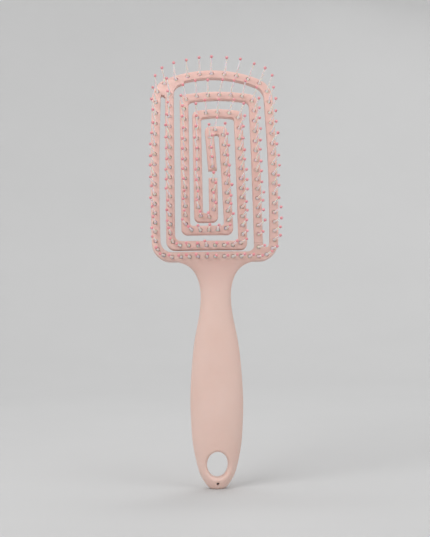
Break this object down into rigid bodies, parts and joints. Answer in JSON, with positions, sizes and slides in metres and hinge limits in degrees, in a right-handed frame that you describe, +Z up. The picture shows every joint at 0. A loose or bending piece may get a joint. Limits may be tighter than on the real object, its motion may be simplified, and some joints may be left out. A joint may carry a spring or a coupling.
{
  "type": "paddle brush",
  "caption": "Open vent hair brush with a curved rectangular head of nested flexing spiral bands, ball-tipped bristle pins and a slim handle with an oval hanging hole.",
  "frame": {"origin": "middle of the grip, on the handle's centreline 50 mm above its end", "axes": "+Z up the handle towards the head, the bristles and the front face -Y, X across"},
  "size_m": [0.0748, 0.0485, 0.2483],
  "materials": {
    "pink_shell": "soft matte",
    "nylon_pin": "milky translucent nylon",
    "ball_tip": "satin"
  },
  "bodies": {
    "handle": {"front_shell": "pink_shell", "handle_back": "pink_shell", "pins_rim_bottom": "nylon_pin", "pins_rim_left": "nylon_pin", "pins_rim_right": "nylon_pin", "pins_rim_top": "nylon_pin", "rim_back": "pink_shell", "tips_rim_bottom": "ball_tip", "tips_rim_left": "ball_tip", "tips_rim_right": "ball_tip", "tips_rim_top": "ball_tip"},
    "arm_a": {"arm_a_back": "pink_shell", "arm_a_front": "pink_shell", "pins_arm_a_run_1": "nylon_pin", "pins_arm_a_run_2": "nylon_pin", "pins_arm_a_run_3": "nylon_pin", "pins_arm_a_run_4": "nylon_pin", "pins_arm_a_run_5": "nylon_pin", "pins_arm_a_run_6": "nylon_pin", "tips_arm_a_run_1": "ball_tip", "tips_arm_a_run_2": "ball_tip", "tips_arm_a_run_3": "ball_tip", "tips_arm_a_run_4": "ball_tip", "tips_arm_a_run_5": "ball_tip", "tips_arm_a_run_6": "ball_tip"},
    "arm_b": {"arm_b_back": "pink_shell", "arm_b_front": "pink_shell", "pins_arm_b_run_1": "nylon_pin", "pins_arm_b_run_2": "nylon_pin", "pins_arm_b_run_3": "nylon_pin", "pins_arm_b_run_4": "nylon_pin", "pins_arm_b_run_5": "nylon_pin", "pins_arm_b_run_6": "nylon_pin", "tips_arm_b_run_1": "ball_tip", "tips_arm_b_run_2": "ball_tip", "tips_arm_b_run_3": "ball_tip", "tips_arm_b_run_4": "ball_tip", "tips_arm_b_run_5": "ball_tip", "tips_arm_b_run_6": "ball_tip"}
  },
  "joints": [
    {"name": "arm_a_flex", "type": "hinge", "parent": "handle", "child": "arm_a", "pos_m": [-0.0253, 0.0206, 0.175], "axis": [1, 0, 0], "range_deg": [-2, 3], "stiffness_Nm_per_rad": 1},
    {"name": "arm_b_flex", "type": "hinge", "parent": "handle", "child": "arm_b", "pos_m": [0.0247, 0.0022, 0.0892], "axis": [-1, 0, 0], "range_deg": [-2, 3], "stiffness_Nm_per_rad": 1}
  ]
}
